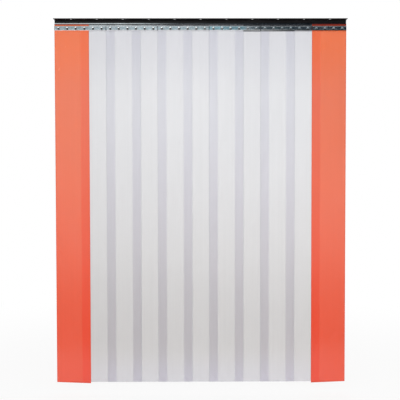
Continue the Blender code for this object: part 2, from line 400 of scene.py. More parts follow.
powderCoat = {
    "black": (0.0060, 0.0055, 0.0058, 1.0),
    "greyed": (0.0125, 0.0112, 0.0118, 1.0),
    "bareSteel": (0.16, 0.15, 0.15, 1.0),
    "dust": (0.11, 0.10, 0.09, 1.0),
    "grain": {"Scale": 1100.0, "Drift Scale": 9.0, "Roughness Low": 0.28, "Roughness High": 0.42},
    "wear": {"Scale": 140.0, "Amount": 0.30},
    "dustAmount": 0.35,
    "dustRoughness": 0.3,
    "drift": (5.0, 4.0),
    "driftRange": (0.35, 0.7),
    "orangePeel": (260.0, 2.0),
    "grainHeight": 0.4,
    "specular": 0.25,
    "bump": 0.12,
    "bumpDepth": 0.0004,
}


def makePowderCoat():
    look = powderCoat
    material, tree, shader = newMaterial("blackPowderCoat")
    place = objectPlace(tree)
    fine = useEffect(tree, grain, place, look["grain"])
    wear = useEffect(tree, edgeWear, place, look["wear"])["Wear"]
    dust = useEffect(tree, settledDust, place, {"Amount": look["dustAmount"]})["Dust"]
    drift = remap(tree, noiseField(tree, place, *look["drift"]), *look["driftRange"])
    coat = mixColors(tree, drift, look["black"], look["greyed"])
    dusty = mixColors(tree, dust, mixColors(tree, wear, coat, look["bareSteel"]), look["dust"])
    peel = noiseField(tree, place, *look["orangePeel"])
    height = calc(tree, "ADD", peel, product(tree, fine["Height"], look["grainHeight"]))
    bump = addNode(tree, "ShaderNodeBump", {
        "Strength": look["bump"], "Distance": look["bumpDepth"], "Height": height})
    rough = calc(tree, "ADD", fine["Roughness"], product(tree, dust, look["dustRoughness"]))
    feedNode(tree, shader, {
        "Base Color": dusty, "Roughness": rough, "Normal": bump, "Specular IOR Level": look["specular"]})
    return material


zincFinish = {
    "pale": (0.55, 0.64, 0.69, 1.0),
    "dull": (0.325, 0.41, 0.45, 1.0),
    "tealTint": (0.20, 0.36, 0.38, 1.0),
    "stain": (0.10, 0.12, 0.13, 1.0),
    "warp": (40.0, 3.0),
    "warpReach": (0.004, 0.004, 0.004),
    "spangleScale": 85.0,
    "brushTurn": (0.0, math.radians(38), 0.0),
    "brushStretch": (60.0, 60.0, 900.0),
    "brush": (1.0, 4.0, 0.7),
    "cloud": (7.0, 4.0, 0.55),
    "tealCloud": (3.3, 3.0),
    "tealRange": (0.46, 0.66, 0.0, 0.75),
    "spangleShare": 0.55,
    "brushShare": 0.7,
    "cloudShare": 0.4,
    "shadeRange": (0.45, 1.2),
    "stains": (95.0, 6.0, 0.7),
    "stainRange": (0.62, 0.78, 0.0, 0.5),
    "grain": {"Scale": 420.0, "Drift Scale": 22.0, "Roughness Low": 0.14, "Roughness High": 0.28},
    "spangleRoughness": 0.07,
    "brushHeight": 0.5,
    "bump": 0.14,
    "bumpDepth": 0.0005,
}


# The bar is bright at its left-hand end, and painted shade darkens it towards the other
barPaintedShade = {
    "bright": (0.86, 0.91, 0.92, 1.0),
    "brightShare": 0.55,
    "dull": (0.035, 0.042, 0.050, 1.0),
    "paintedShadeRange": (-0.52, -0.10, 0.0, 0.95),
}

# The plates were sheared off a long strip, which left dark ends. Their lip and top edge carry a painted
# highlight, and to the right first a teal stretch and then a painted dark reflection follow, over the face
# and the lip.
plateEndsAndPaintedLight = {
    "endBand": (0.0015, 0.0030),
    "endColor": (0.035, 0.040, 0.045, 1.0),
    "lipBand": (0.0028, 0.0040),
    "paintedHighlight": (0.93, 0.95, 0.96, 1.0),
    "paintedDarkTone": (0.05, 0.055, 0.06, 1.0),
    "lipPaintedDarkRange": (0.28, 0.64),
    "teal": (0.78, 1.06, 1.12, 1.0),
    "tealStart": (0.046, 0.054),
    "tealEnd": (0.25, 0.28, 1.0, 0.0),
    "facePaintedDarkRange": (0.24, 0.38, 0.0, 0.46),
    "topHighlightBand": (0.0024, 0.0030, 0.42, 0.0),
}

# Painted shade darkens the lower half of each nut and the end of its stud, while a painted highlight
# brightens the nuts and studs on the left and a painted dark reflection dims them on the right
nutPaintedLight = {
    "paintedShade": (0.012, 0.013, 0.015, 1.0),
    "paintedShadeHeight": (-0.0006, 0.0008),
    "paintedShadeWidth": (0.0052, 0.00728),
    "paintedShadeMetallic": 0.2,
    "sag": -0.0042,
    "paintedSheen": (0.97, 0.98, 0.98, 1.0),
    "paintedDark": (0.20, 0.23, 0.25, 1.0),
    "paintedDarkRange": (-0.1, 0.5),
    "paintedSheenShare": 0.75,
    "paintedDarkShare": 0.5,
}


def nutLayer(tree, place, finished):
    look = nutPaintedLight
    spot = axes(tree, place)
    # how far to the side of the nearest stud, and how far above the studs
    beside = calc(tree, "SUBTRACT", calc(tree, "FRACT", calc(tree, "DIVIDE", spot["X"], studPitch)), 0.5)
    beside = product(tree, calc(tree, "ABSOLUTE", beside), studPitch)
    sag = remap(tree, spot["X"], railLow.x, railHigh.x, 0.0, look["sag"])
    above = calc(tree, "SUBTRACT", calc(tree, "SUBTRACT", spot["Z"], studLine), sag)
    # painted shade over the lower half of each nut
    paintedShaded = product(tree, fade(tree, above, *look["paintedShadeHeight"]),
                      fade(tree, beside, *look["paintedShadeWidth"]))
    # painted highlight on the left, painted dark reflection on the right
    paintedSheen = remap(tree, spot["X"], *look["paintedDarkRange"], look["paintedSheenShare"], 0.0)
    paintedDark = remap(tree, spot["X"], *look["paintedDarkRange"], 0.0, look["paintedDarkShare"])
    bright = mixColors(tree, paintedSheen, mixColors(tree, paintedDark, finished, look["paintedDark"]), look["paintedSheen"])
    return (mixColors(tree, paintedShaded, bright, look["paintedShade"]),
            remap(tree, paintedShaded, 0.0, 1.0, 1.0, look["paintedShadeMetallic"]))


def barLayer(tree, place, finished):
    bright = mixColors(tree, barPaintedShade["brightShare"], finished, barPaintedShade["bright"])
    # painted shade, growing from near the bar's left-hand end towards the right
    amount = remap(tree, axes(tree, place)["X"], *barPaintedShade["paintedShadeRange"], smooth=True)
    return mixColors(tree, amount, bright, barPaintedShade["dull"]), 1.0


def plateLayer(tree, place, finished):
    look = plateEndsAndPaintedLight
    spot = axes(tree, place)
    # how far it is to the nearest joint between two plates, counted from the rail's left-hand end
    plateLength = studsPerPlate * studPitch
    joints = calc(tree, "DIVIDE", calc(tree, "SUBTRACT", spot["X"], railLow.x), plateLength)
    off = calc(tree, "ABSOLUTE", calc(tree, "SUBTRACT", joints, calc(tree, "ROUND", joints)))
    atEnd = fade(tree, product(tree, off, plateLength), *look["endBand"])
    # painted highlight on the lip and top edge, which a painted dark reflection takes over towards the right
    onLip = fade(tree, calc(tree, "SUBTRACT", spot["Z"], plateLow.z), *look["lipBand"])
    lipDarkening = remap(tree, spot["X"], *look["lipPaintedDarkRange"], smooth=True)
    lip = mixColors(tree, lipDarkening, look["paintedHighlight"], look["paintedDarkTone"])
    teal = product(tree, remap(tree, spot["X"], *look["tealStart"]), remap(tree, spot["X"], *look["tealEnd"]))
    finished = mixColors(tree, teal, finished, look["teal"], "MULTIPLY")
    # painted dark reflection over the face towards the right
    paintedDark = remap(tree, spot["X"], *look["facePaintedDarkRange"], smooth=True)
    finished = mixColors(tree, paintedDark, finished, look["paintedDarkTone"])
    topHighlight = remap(tree, calc(tree, "SUBTRACT", plateHigh.z, spot["Z"]), *look["topHighlightBand"], smooth=True)
    faced = mixColors(tree, topHighlight, mixColors(tree, onLip, finished, lip), look["paintedHighlight"])
    metallic = calc(tree, "SUBTRACT", 1.0, calc(tree, "MAXIMUM", onLip, topHighlight))
    return mixColors(tree, atEnd, faced, look["endColor"]), metallic


def makeZinc(name, lastLayer):
    look = zincFinish
    material, tree, shader = newMaterial(name)
    place = objectPlace(tree)
    warp = stretched(tree, noiseField(tree, place, *look["warp"]).outputs["Color"], look["warpReach"])
    bent = addNode(tree, "ShaderNodeVectorMath", {0: warp, 1: place}, operation="ADD")
    spangle = addNode(tree, "ShaderNodeTexVoronoi", {"Vector": bent, "Scale": look["spangleScale"]})
    tone = addNode(tree, "ShaderNodeSeparateColor", {0: spangle.outputs["Color"]}).outputs
    turned = addNode(tree, "ShaderNodeMapping", {"Vector": place, "Rotation": look["brushTurn"]})
    brush = noiseField(tree, stretched(tree, turned, look["brushStretch"]), *look["brush"])
    cloud = product(tree, noiseField(tree, place, *look["cloud"]), look["cloudShare"])
    brushed = calc(tree, "MULTIPLY_ADD", tone["Red"], look["spangleShare"],
                   product(tree, brush, look["brushShare"]))
    shade = remap(tree, calc(tree, "ADD", brushed, cloud), *look["shadeRange"])
    metal = mixColors(tree, shade, look["dull"], look["pale"])
    tealCloud = remap(tree, noiseField(tree, place, *look["tealCloud"]), *look["tealRange"])
    tinted = mixColors(tree, product(tree, tealCloud, tone["Green"]), metal, look["tealTint"])
    stains = remap(tree, noiseField(tree, place, *look["stains"]), *look["stainRange"])
    finished, metallic = lastLayer(tree, place, mixColors(tree, stains, tinted, look["stain"]))
    fine = useEffect(tree, grain, place, look["grain"])
    rough = calc(tree, "ADD", fine["Roughness"], product(tree, tone["Blue"], look["spangleRoughness"]))
    height = calc(tree, "ADD", product(tree, brush, look["brushHeight"]), tone["Red"])
    bump = addNode(tree, "ShaderNodeBump", {
        "Strength": look["bump"], "Distance": look["bumpDepth"], "Height": height})
    feedNode(tree, shader, {"Base Color": finished, "Roughness": rough, "Normal": bump, "Metallic": metallic})
    return material


sheetDrawing = {
    "headRange": (0.6, 1.0),
    "clampRange": (0.9, 1.1),
    "footRange": (0.90, 1.0),
    "streak": ((170.0, 1.0, 0.9), 3.0, 0.6),
    "haze": ((5.0, 1.0, 3.0), 5.0, 0.6),
    "scratch": ((320.0, 1.0, 34.0), 6.0, 0.75),
    "scratchRange": (0.63, 0.72),
    "scuffRange": (0.72, 1.0, 0.15, 1.0),
    "ripple": ((9.0, 1.0, 2.2), 2.0),
    "streakHeight": 0.06,
}


def sheetMarksEffect():
    # what a hanging PVC sheet shows: its cut edges, faint drawn lines, haze, scuffs and how far down it is
    look = sheetDrawing
    tree, given = newEffect(
        "sheetMarks", ["Half Width", "Length", "Edge Band", "Head Band", "Clamp Depth"],
        ["Edge", "Head", "Clamped", "Fall", "Foot", "Streak", "Haze", "Scuff", "Height"])

    def drawn(name):
        scale, *grade = look[name]
        return noiseField(tree, stretched(tree, given["Place"], scale), 1.0, *grade)

    spot = axes(tree, given["Place"])
    fromSide = calc(tree, "SUBTRACT", given["Half Width"], calc(tree, "ABSOLUTE", spot["X"]))
    nearest = calc(tree, "MINIMUM", fromSide, calc(tree, "ADD", given["Length"], spot["Z"]))
    down = product(tree, spot["Z"], -1.0)
    fall = calc(tree, "DIVIDE", down, given["Length"], clamped=True)
    streak, haze = drawn("streak"), drawn("haze")
    lines = remap(tree, drawn("scratch"), *look["scratchRange"])
    lowBand = remap(tree, fall, *look["scuffRange"], smooth=True)
    return closeTree(tree, {
        "Edge": fade(tree, calc(tree, "DIVIDE", nearest, given["Edge Band"]), 0.0, 1.0),
        "Head": fade(tree, calc(tree, "DIVIDE", down, given["Head Band"]), *look["headRange"]),
        "Clamped": fade(tree, calc(tree, "DIVIDE", down, given["Clamp Depth"]), *look["clampRange"]),
        "Fall": fall, "Foot": remap(tree, fall, *look["footRange"], smooth=True),
        "Streak": streak, "Haze": haze, "Scuff": product(tree, lines, lowBand, haze),
        "Height": calc(tree, "MULTIPLY_ADD", streak, look["streakHeight"], drawn("ripple"))})


sheetMarks = sheetMarksEffect()

# The strips: each is one sheet from its punched head to its foot
strip = {
    "thickness": 0.00203,
    "rows": 200,
    "edgeSteps": 5,
    "edgeShare": 0.49,  # the rounding of the cut edges, as a share of the thickness
    "footShare": 0.999,  # what lies lower than this share of the length is the foot, cut aslant or straight
    "clampDepth": 0.0160,
    "lipLine": 0.0381,
    "bendLength": 0.16,
    "lotStep": 3.7,  # sets each strip's noise apart from its neighbours'
}

# What both kinds of sheet share. Ranges that are called strips count the strips from left to right, from 0.
sheetShading = {
    "fallRange": (0.15, 0.95),
    "shadedRange": (0.02, 0.22),
    "headBand": 0.0066,
    "lipBand": (-0.002, 0.0),
    "lipShadow": (0.0035, 0.0070),
    "rightStrips": (6.0, 7.0),
    "headShadow": 0.86,
    "lastStrips": (8.0, 9.0, 1.0, 0.45),
    "middleStrips": (4.0, 6.0, 1.0, -1.0),
    "lapRange": (0.0498, 0.0518),
    "lapFallRange": (0.15, 0.50),
    "streakRange": (0.3, 0.7, 0.0, 0.06),
    "streakColor": (0.5, 0.5, 0.5, 1.0),
    "headAlpha": 0.5,
    "shadowAlpha": 0.3,
    "hazeMiddle": 0.5,
    "hazeAlpha": 0.05,
    "scuffAlpha": 0.07,
    "hazeRange": (0.3, 0.7),
    "scuffRoughness": 0.25,
    "bump": 0.25,
    "bumpDepth": 0.004,
    "ior": 1.53,
}

clearSheet = {
    "litMiddle": (0.862, 0.868, 0.893, 1.0),
    "shadedLower": (0.694, 0.676, 0.670, 1.0),
    "shaded": (0.782, 0.787, 0.832, 1.0),
    "foot": (0.752, 0.738, 0.780, 1.0),
    "edge": (0.46, 0.48, 0.53, 1.0),
    "headEdge": (0.022, 0.027, 0.034, 1.0),
    "clampAlpha": 0.08,
    "toneRange": (0.945, 1.0275),
    "lapsBothSides": True,
    "lapTop": (1.05, 1.05, 1.075, 1.0),
    "lapLow": (1.02, 1.005, 1.055, 1.0),
    "alphaTop": 0.60,
    "alphaFoot": 0.56,
    "edgeAlpha": 0.16,
    "edgeBand": 0.0026,
    "edgeMix": 0.7,
    "roughness": (0.10, 0.22),
}

orangeSheet = {
    "litMiddle": (0.965, 0.210, 0.092, 1.0),
    "shadedLower": (1.0, 0.112, 0.047, 1.0),
    "shaded": (1.0, 0.200, 0.055, 1.0),
    "foot": (1.0, 0.112, 0.055, 1.0),
    "edge": (0.60, 0.060, 0.022, 1.0),
    "headEdge": (0.22, 0.018, 0.010, 1.0),
    "clampAlpha": 0.74,
    "toneRange": (1.0, 1.0),
    "lapsBothSides": False,
    "lapTop": (1.06, 1.02, 1.30, 1.0),
    "lapLow": (1.03, 0.85, 0.93, 1.0),
    "alphaTop": 0.80,
    "alphaFoot": 0.86,
    "edgeAlpha": 0.15,
    "edgeBand": 0.0055,
    "edgeMix": 0.55,
    "roughness": (0.14, 0.28),
}


def makeSheetMaterial(name, look, halfWidth, length):
    shared = sheetShading
    material, tree, shader = newMaterial(name)
    place = addNode(tree, "ShaderNodeAttribute", attribute_name="sheetPlace").outputs["Vector"]
    marks = useEffect(tree, sheetMarks, place, {
        "Half Width": halfWidth, "Length": length, "Edge Band": look["edgeBand"],
        "Head Band": shared["headBand"], "Clamp Depth": strip["clampDepth"]})
    # lit and shaded copies of the sheet's colour, painted from head to foot: shaded near the head, lit in the
    # upper middle, shaded lower down and a little lighter at the foot
    fall = remap(tree, marks["Fall"], *shared["fallRange"], smooth=True)
    shaded = fade(tree, marks["Fall"], *shared["shadedRange"])
    upper = mixColors(tree, shaded, look["litMiddle"], look["shaded"])
    lower = mixColors(tree, marks["Foot"], look["shadedLower"], look["foot"])
    body = mixColors(tree, fall, upper, lower)
    # the lot number that rides in the second coordinate tells the strips apart
    spot = axes(tree, place)
    lot = calc(tree, "DIVIDE", spot["Y"], strip["lotStep"])
    tone = remap(tree, lot, 0.0, len(stripNames) - 1.0, *look["toneRange"])
    toneColor = addNode(tree, "ShaderNodeCombineColor", {channel: tone for channel in range(3)}).outputs[0]
    body = mixColors(tree, 1.0, body, toneColor, "MULTIPLY")
    # from the right-hand strips' heads down to just below the lip, a painted shadow of the clamp darkens the
    # sheet
    belowLip = calc(tree, "SUBTRACT", product(tree, spot["Z"], -1.0), strip["lipLine"])
    atHead = remap(tree, lot, *shared["rightStrips"], 0.0, shared["headShadow"])
    underLip = product(tree, remap(tree, lot, *shared["rightStrips"]),
                       remap(tree, lot, *shared["lastStrips"]))
    shadow = product(tree, fade(tree, belowLip, *shared["lipShadow"]),
                     remap(tree, belowLip, *shared["lipBand"], atHead, underLip))
    body = mixColors(tree, shadow, body, look["headEdge"])
    # where two sheets lie together, a painted tint stands for the light that passes through both: on both
    # sides of a clear strip, and on the inner side of an orange one
    inward = product(tree, spot["X"], remap(tree, lot, *shared["middleStrips"]))
    beside = calc(tree, "ABSOLUTE", spot["X"]) if look["lapsBothSides"] else inward
    lapFall = remap(tree, marks["Fall"], *shared["lapFallRange"])
    tint = mixColors(tree, lapFall, look["lapTop"], look["lapLow"])
    body = mixColors(tree, remap(tree, beside, *shared["lapRange"]), body, tint, "MULTIPLY")
    streaks = remap(tree, marks["Streak"], *shared["streakRange"])
    streaked = mixColors(tree, streaks, body, shared["streakColor"], "MULTIPLY")
    # painted shade along the cut edges, and a painted dark line along the head's top cut
    edged = mixColors(tree, product(tree, marks["Edge"], look["edgeMix"]), streaked, look["edge"])
    headed = mixColors(tree, marks["Head"], edged, look["headEdge"])
    solid = calc(tree, "MULTIPLY_ADD", fall, look["alphaFoot"] - look["alphaTop"], look["alphaTop"])
    solid = remap(tree, marks["Clamped"], 0.0, 1.0, solid, look["clampAlpha"])
    hazy = calc(tree, "SUBTRACT", marks["Haze"], shared["hazeMiddle"])
    for amount, share in ((marks["Edge"], look["edgeAlpha"]), (marks["Head"], shared["headAlpha"]),
                          (shadow, shared["shadowAlpha"]), (hazy, shared["hazeAlpha"])):
        solid = calc(tree, "MULTIPLY_ADD", amount, share, solid)
    alpha = calc(tree, "MULTIPLY_ADD", marks["Scuff"], shared["scuffAlpha"], solid, clamped=True)
    rough = calc(tree, "ADD", remap(tree, marks["Haze"], *shared["hazeRange"], *look["roughness"]),
                 product(tree, marks["Scuff"], shared["scuffRoughness"]))
    bump = addNode(tree, "ShaderNodeBump", {
        "Strength": shared["bump"], "Distance": shared["bumpDepth"], "Height": marks["Height"]})
    feedNode(tree, shader, {
        "Base Color": headed, "Alpha": alpha, "Roughness": rough, "Normal": bump, "IOR": shared["ior"]})
    return material


print("materials")
blackCoat = makePowderCoat()
nutZinc = makeZinc("nutZinc", nutLayer)
barZinc = makeZinc("barZinc", barLayer)
plateZinc = makeZinc("plateZinc", plateLayer)


# The rail: a rolled angle with bolt slots in its top leg
rail = {
    "steel": 0.0032,
    "innerFillet": 0.0048,
    "toeRadius": 0.0016,
    "cornerSteps": 8,
    "slotWidth": 0.0095,
    "slotLength": 0.0254,
    "slotFrontMargin": 0.0064,
    "bevel": 0.00035,
}


def makeRail():
    steel, toe, fillet = rail["steel"], rail["toeRadius"], rail["innerFillet"]
    bottom, top, front = railLow.z, railHigh.z, railLow.y
    profile = [(0, bottom), (0, top), (front, top)]
    profile += arc((front + toe, top - steel + toe), toe, 180, 270, rail["cornerSteps"])
    profile += arc((-steel - fillet, top - steel - fillet), fillet, 90, 0, rail["cornerSteps"])
    profile += arc((-steel + toe, bottom + toe), toe, 180, 270, rail["cornerSteps"])
    piece = newPiece("rail_angle", prism(profile, "x", railLow.x, railHigh.x))
    slotMiddle = front + rail["slotFrontMargin"] + rail["slotLength"] / 2
    shapeWith(piece, punched, {
        "Count": len(stripNames), "Pitch": stripPitch, "Radius": rail["slotWidth"] / 2,
        "Stretch": rail["slotLength"] - rail["slotWidth"], "Depth": 3 * steel,
        "Middle": (0, slotMiddle, top - steel / 2), "Material": blackCoat})
    return settle(piece, rail["bevel"])


# The studs that are welded to the rail, with a rolled thread on the end that the nut runs on
stud = {
    "radius": 0.00397,
    "threadDepth": 0.00055,
    "threadPitch": 0.00141,
    "threadedLength": 0.0130,
    "tipRise": 0.0012,
    "tipSlope": 2.9,
    "pastNut": 0.0036,
    "sides": 24,
    "rowsPerThread": 6,
    "seed": 7,
}


def studTree():
    tree, sizes = newShape("weldedStuds", {
        "Int": ["Count", "Sides", "Rows", "Seed"], "Vector": ["Middle"], "Material": ["Material"],
        "Float": ["Pitch", "Radius", "Thread Depth", "Thread Pitch", "Threaded Length", "Shank Length",
                  "Tip Rise", "Tip Slope"]})
    rod = cylinder(tree, sizes["Sides"], sizes["Radius"], sizes["Threaded Length"], sizes["Rows"])
    spot = axes(tree, addNode(tree, "GeometryNodeInputPosition"))
    angle = calc(tree, "DIVIDE", calc(tree, "ARCTAN2", spot["Y"], spot["X"]), roundTurn)
    turns = calc(tree, "SUBTRACT", calc(tree, "DIVIDE", spot["Z"], sizes["Thread Pitch"]), angle)
    saw = calc(tree, "MULTIPLY_ADD", calc(tree, "FRACT", turns), 2.0, -1.0)
    groove = product(tree, calc(tree, "ABSOLUTE", saw), sizes["Thread Depth"])
    halfLength = product(tree, sizes["Threaded Length"], 0.5)
    onTip = calc(tree, "SUBTRACT", calc(tree, "ADD", spot["Z"], sizes["Tip Rise"]), halfLength)
    tip = product(tree, calc(tree, "MAXIMUM", onTip, 0.0), sizes["Tip Slope"])
    kept = calc(tree, "SUBTRACT", 1.0, calc(tree, "DIVIDE", calc(tree, "ADD", groove, tip), sizes["Radius"]))
    slim = vector(tree, product(tree, spot["X"], kept), product(tree, spot["Y"], kept), spot["Z"])
    threaded = addNode(tree, "GeometryNodeSetPosition", {"Geometry": rod, "Position": slim})
    ahead = raised(tree, threaded, calc(tree, "ADD", sizes["Shank Length"], halfLength))
    shank = cylinder(tree, sizes["Sides"], sizes["Radius"], sizes["Shank Length"])
    seated = raised(tree, shank, product(tree, sizes["Shank Length"], 0.5))
    whole = addNode(tree, "GeometryNodeJoinGeometry", {"Geometry": [ahead, seated]})
    return standInRow(tree, whole, sizes)


def makeStuds():
    length = -rail["steel"] - (plateLow.y - stud["pastNut"])
    piece = newPiece("welded_studs")
    shapeWith(piece, studTree(), {
        "Count": studCount, "Pitch": studPitch, "Radius": stud["radius"], "Thread Depth": stud["threadDepth"],
        "Thread Pitch": stud["threadPitch"], "Threaded Length": stud["threadedLength"],
        "Shank Length": length - stud["threadedLength"], "Tip Rise": stud["tipRise"],
        "Tip Slope": stud["tipSlope"], "Sides": stud["sides"],
        "Rows": round(stud["threadedLength"] / stud["threadPitch"] * stud["rowsPerThread"]),
        "Middle": (0, -rail["steel"], studLine), "Seed": stud["seed"], "Material": nutZinc})
    return settle(piece)


print("rail and studs")
railPiece = makeRail()
studPiece = makeStuds()
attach(railPiece, "root")
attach(studPiece, "root")
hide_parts("mounting_angle")


# The backing bar that the strips are pressed against
bar = {
    "cornerRadius": 0.0016,
    "cornerSteps": 6,
    "studHoleRadius": 0.00477,
    "bevel": 0.00080,
}


def makeBar():
    radius = bar["cornerRadius"]
    left, right, bottom, top = barLow.x + radius, barHigh.x - radius, barLow.z + radius, barHigh.z - radius
    outline = []
    for turn, center in enumerate(((right, top), (left, top), (left, bottom), (right, bottom))):
        outline += arc(center, radius, 90 * turn, 90 * turn + 90, bar["cornerSteps"])
    piece = newPiece("backing_bar_zinc", prism(outline, "y", barLow.y, barHigh.y))
    shapeWith(piece, punched, {
        "Count": studCount, "Pitch": studPitch, "Radius": bar["studHoleRadius"],
        "Depth": 3 * (barHigh.y - barLow.y), "Middle": (0, (barLow.y + barHigh.y) / 2, studLine),
        "Turn": acrossWall, "Material": barZinc})
    return settle(piece, bar["bevel"])


# The clamp plates, whose lower lip is flared away from the strips
clampPlate = {
    "thickness": 0.0019,
    "bendRadius": 0.0010,
    "lipLength": 0.0035,
    "lipDegrees": 30,
    "bendSteps": 8,
    "bevel": 0.00030,
}


def plateProfile():
    turn = math.radians(clampPlate["lipDegrees"])
    outer = clampPlate["bendRadius"] + clampPlate["thickness"]
    lip = clampPlate["lipLength"]
    rearFace = plateHigh.y
    center = (rearFace - outer, plateLow.z + outer * math.sin(turn) + lip * math.cos(turn))
    rear = arc(center, outer, 0, -clampPlate["lipDegrees"], clampPlate["bendSteps"])
    front = arc(center, clampPlate["bendRadius"], -clampPlate["lipDegrees"], 0, clampPlate["bendSteps"])
    reach = (-lip * math.sin(turn), -lip * math.cos(turn))
    tips = [(point[0] + reach[0], point[1] + reach[1]) for point in (rear[-1], front[0])]
    frontFace = rearFace - clampPlate["thickness"]
    return [(rearFace, plateHigh.z)] + rear + tips + front + [(frontFace, plateHigh.z)]


def makePlate(name):
    low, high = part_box(name)
    piece = newPiece(name.replace("front", "clamp"), prism(plateProfile(), "x", low.x, high.x))
    holes = round((high.x - low.x) / studPitch)
    # the studs lie at half pitches from the middle of the rail
    firstStud = math.ceil((low.x + studPitch / 4) / studPitch - 0.5) + 0.5
    middle = (firstStud + (holes - 1) / 2) * studPitch
    thickness = clampPlate["thickness"]
    shapeWith(piece, punched, {
        "Count": holes, "Pitch": studPitch, "Radius": bar["studHoleRadius"], "Depth": 3 * thickness,
        "Middle": (middle, high.y - thickness / 2, studLine), "Turn": acrossWall, "Material": plateZinc})
    return settle(piece, clampPlate["bevel"])


# The flange nuts, each a six-sided nut with a chamfered crown on a round skirt
nut = {
    "height": 0.0082,
    "acrossFlats": 0.0127,
    "flangeWidth": 0.0018,
    "rim": 0.0013,
    "cone": 0.0017,
    "boreRadius": 0.00405,
    "boreDepth": 0.0328,
    "crownShare": 0.67,
    "chamferDegrees": 20,
    "roundSides": 40,
    "bevel": 0.00018,
    "seed": 11,
}


def nutTree():
    tree, sizes = newShape("flangeNuts", {
        "Int": ["Count", "Sides", "Seed"], "Vector": ["Middle"], "Material": ["Material"],
        "Float": ["Pitch", "Across Flats", "Height", "Flange Radius", "Rim", "Cone", "Bore", "Bore Depth",
                  "Crown Radius", "Chamfer Spread"]})
    height, sides = sizes["Height"], sizes["Sides"]
    halfFlats = product(tree, sizes["Across Flats"], 0.5)
    hexagon = cylinder(tree, 6, calc(tree, "DIVIDE", halfFlats, math.cos(math.pi / 6)), height)
    lifted = raised(tree, hexagon, product(tree, height, 0.5))
    dome = addNode(tree, "GeometryNodeMeshCone", {
        "Vertices": sides, "Radius Top": sizes["Crown Radius"],
        "Radius Bottom": calc(tree, "ADD", sizes["Crown Radius"], sizes["Chamfer Spread"]), "Depth": height})
    crown = combined(tree, "INTERSECT", {"Mesh 2": [lifted, dome]})
    rim = raised(tree, cylinder(tree, sides, sizes["Flange Radius"], sizes["Rim"]),
                 product(tree, sizes["Rim"], 0.5))
    skirt = raised(tree, addNode(tree, "GeometryNodeMeshCone", {
        "Vertices": sides, "Radius Top": halfFlats, "Radius Bottom": sizes["Flange Radius"],
        "Depth": sizes["Cone"]}), sizes["Rim"])
    whole = combined(tree, "UNION", {"Mesh 2": [crown, rim, skirt]})
    bore = cylinder(tree, sides, sizes["Bore"], sizes["Bore Depth"])
    return standInRow(tree, combined(tree, "DIFFERENCE", {"Mesh 1": whole, "Mesh 2": bore}), sizes)


def makeNuts():
    piece = newPiece("flange_nuts")
    shapeWith(piece, nutTree(), {
        "Count": studCount, "Pitch": studPitch, "Across Flats": nut["acrossFlats"], "Height": nut["height"],
        "Flange Radius": nut["acrossFlats"] / 2 + nut["flangeWidth"], "Rim": nut["rim"],
        "Cone": nut["cone"], "Bore": nut["boreRadius"], "Bore Depth": nut["boreDepth"],
        "Crown Radius": nut["acrossFlats"] / 2 * nut["crownShare"],
        "Chamfer Spread": nut["height"] / math.tan(math.radians(nut["chamferDegrees"])),
        "Sides": nut["roundSides"], "Middle": (0, plateHigh.y - clampPlate["thickness"], studLine),
        "Seed": nut["seed"], "Material": nutZinc})
    return settle(piece, nut["bevel"])


print("bar, plates and nuts")
barPiece = makeBar()
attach(barPiece, "root")
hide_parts("backing_bar")
for plateName in plateNames:
    platePiece = makePlate(plateName)
    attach(platePiece, "root")
    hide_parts(plateName)
nutPiece = makeNuts()
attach(nutPiece, "root")


def stripTree():
    tree, sizes = newShape("pvcStrip", {
        "Float": ["Width", "Thickness", "Length", "Cut Drop", "Inward", "Pitch", "Radius", "Depth", "Lot"],
        "Int": ["Rows", "Edge Steps", "Count"], "Vector": ["Middle", "Place"], "Rotation": ["Turn"],
        "Material": ["Material"]})
    spine = addNode(tree, "GeometryNodeCurvePrimitiveLine", {"End": vector(tree, sizes["Length"])})
    spaced = addNode(tree, "GeometryNodeResampleCurve", {"Curve": spine, "Count": sizes["Rows"]})
    outline = addNode(tree, "GeometryNodeCurvePrimitiveQuadrilateral", {
        "Width": sizes["Width"], "Height": sizes["Thickness"]})
    rounded = addNode(tree, "GeometryNodeFilletCurve", {
        "Curve": outline, "Count": sizes["Edge Steps"], "Limit Radius": True,
        "Radius": product(tree, sizes["Thickness"], strip["edgeShare"])}, mode="POLY")
    sheet = addNode(tree, "GeometryNodeCurveToMesh", {
        "Curve": spaced, "Profile Curve": rounded, "Fill Caps": True})
    hung = shifted(tree, sheet, turn=(math.pi / 2, math.pi / 2, 0.0))
    spot = axes(tree, addNode(tree, "GeometryNodeInputPosition"))
    side = calc(tree, "DIVIDE", product(tree, spot["X"], sizes["Inward"]), sizes["Width"])
    drop = product(tree, calc(tree, "ADD", side, 0.5), sizes["Cut Drop"])
    atFoot = calc(tree, "LESS_THAN", spot["Z"], product(tree, sizes["Length"], -strip["footShare"]))
    lowered = vector(tree, z=product(tree, drop, atFoot, -1.0))
    slanted = addNode(tree, "GeometryNodeSetPosition", {"Geometry": hung, "Offset": lowered})
    holed = cutRow(tree, slanted, sizes)
    place = vector(tree, spot["X"], calc(tree, "ADD", spot["Y"], sizes["Lot"]), spot["Z"])
    noted = addNode(tree, "GeometryNodeStoreNamedAttribute", {
        "Geometry": holed, "Name": "sheetPlace", "Value": place}, data_type="FLOAT_VECTOR", domain="POINT")
    return closeShape(tree, shifted(tree, noted, sizes["Place"]), sizes)


sheetTree = stripTree()
sheetBlade, sheetHead = stripBoxes[stripNames[1]]
sheetWidth = sheetHead[1].x - sheetHead[0].x
sheetTop, sheetFoot = sheetHead[1].z, sheetBlade[0].z
sheetLength = sheetTop - sheetFoot
clearPvc = makeSheetMaterial("clearPvc", clearSheet, sheetWidth / 2, sheetLength)
orangePvc = makeSheetMaterial("orangePvc", orangeSheet, sheetWidth / 2, sheetLength)


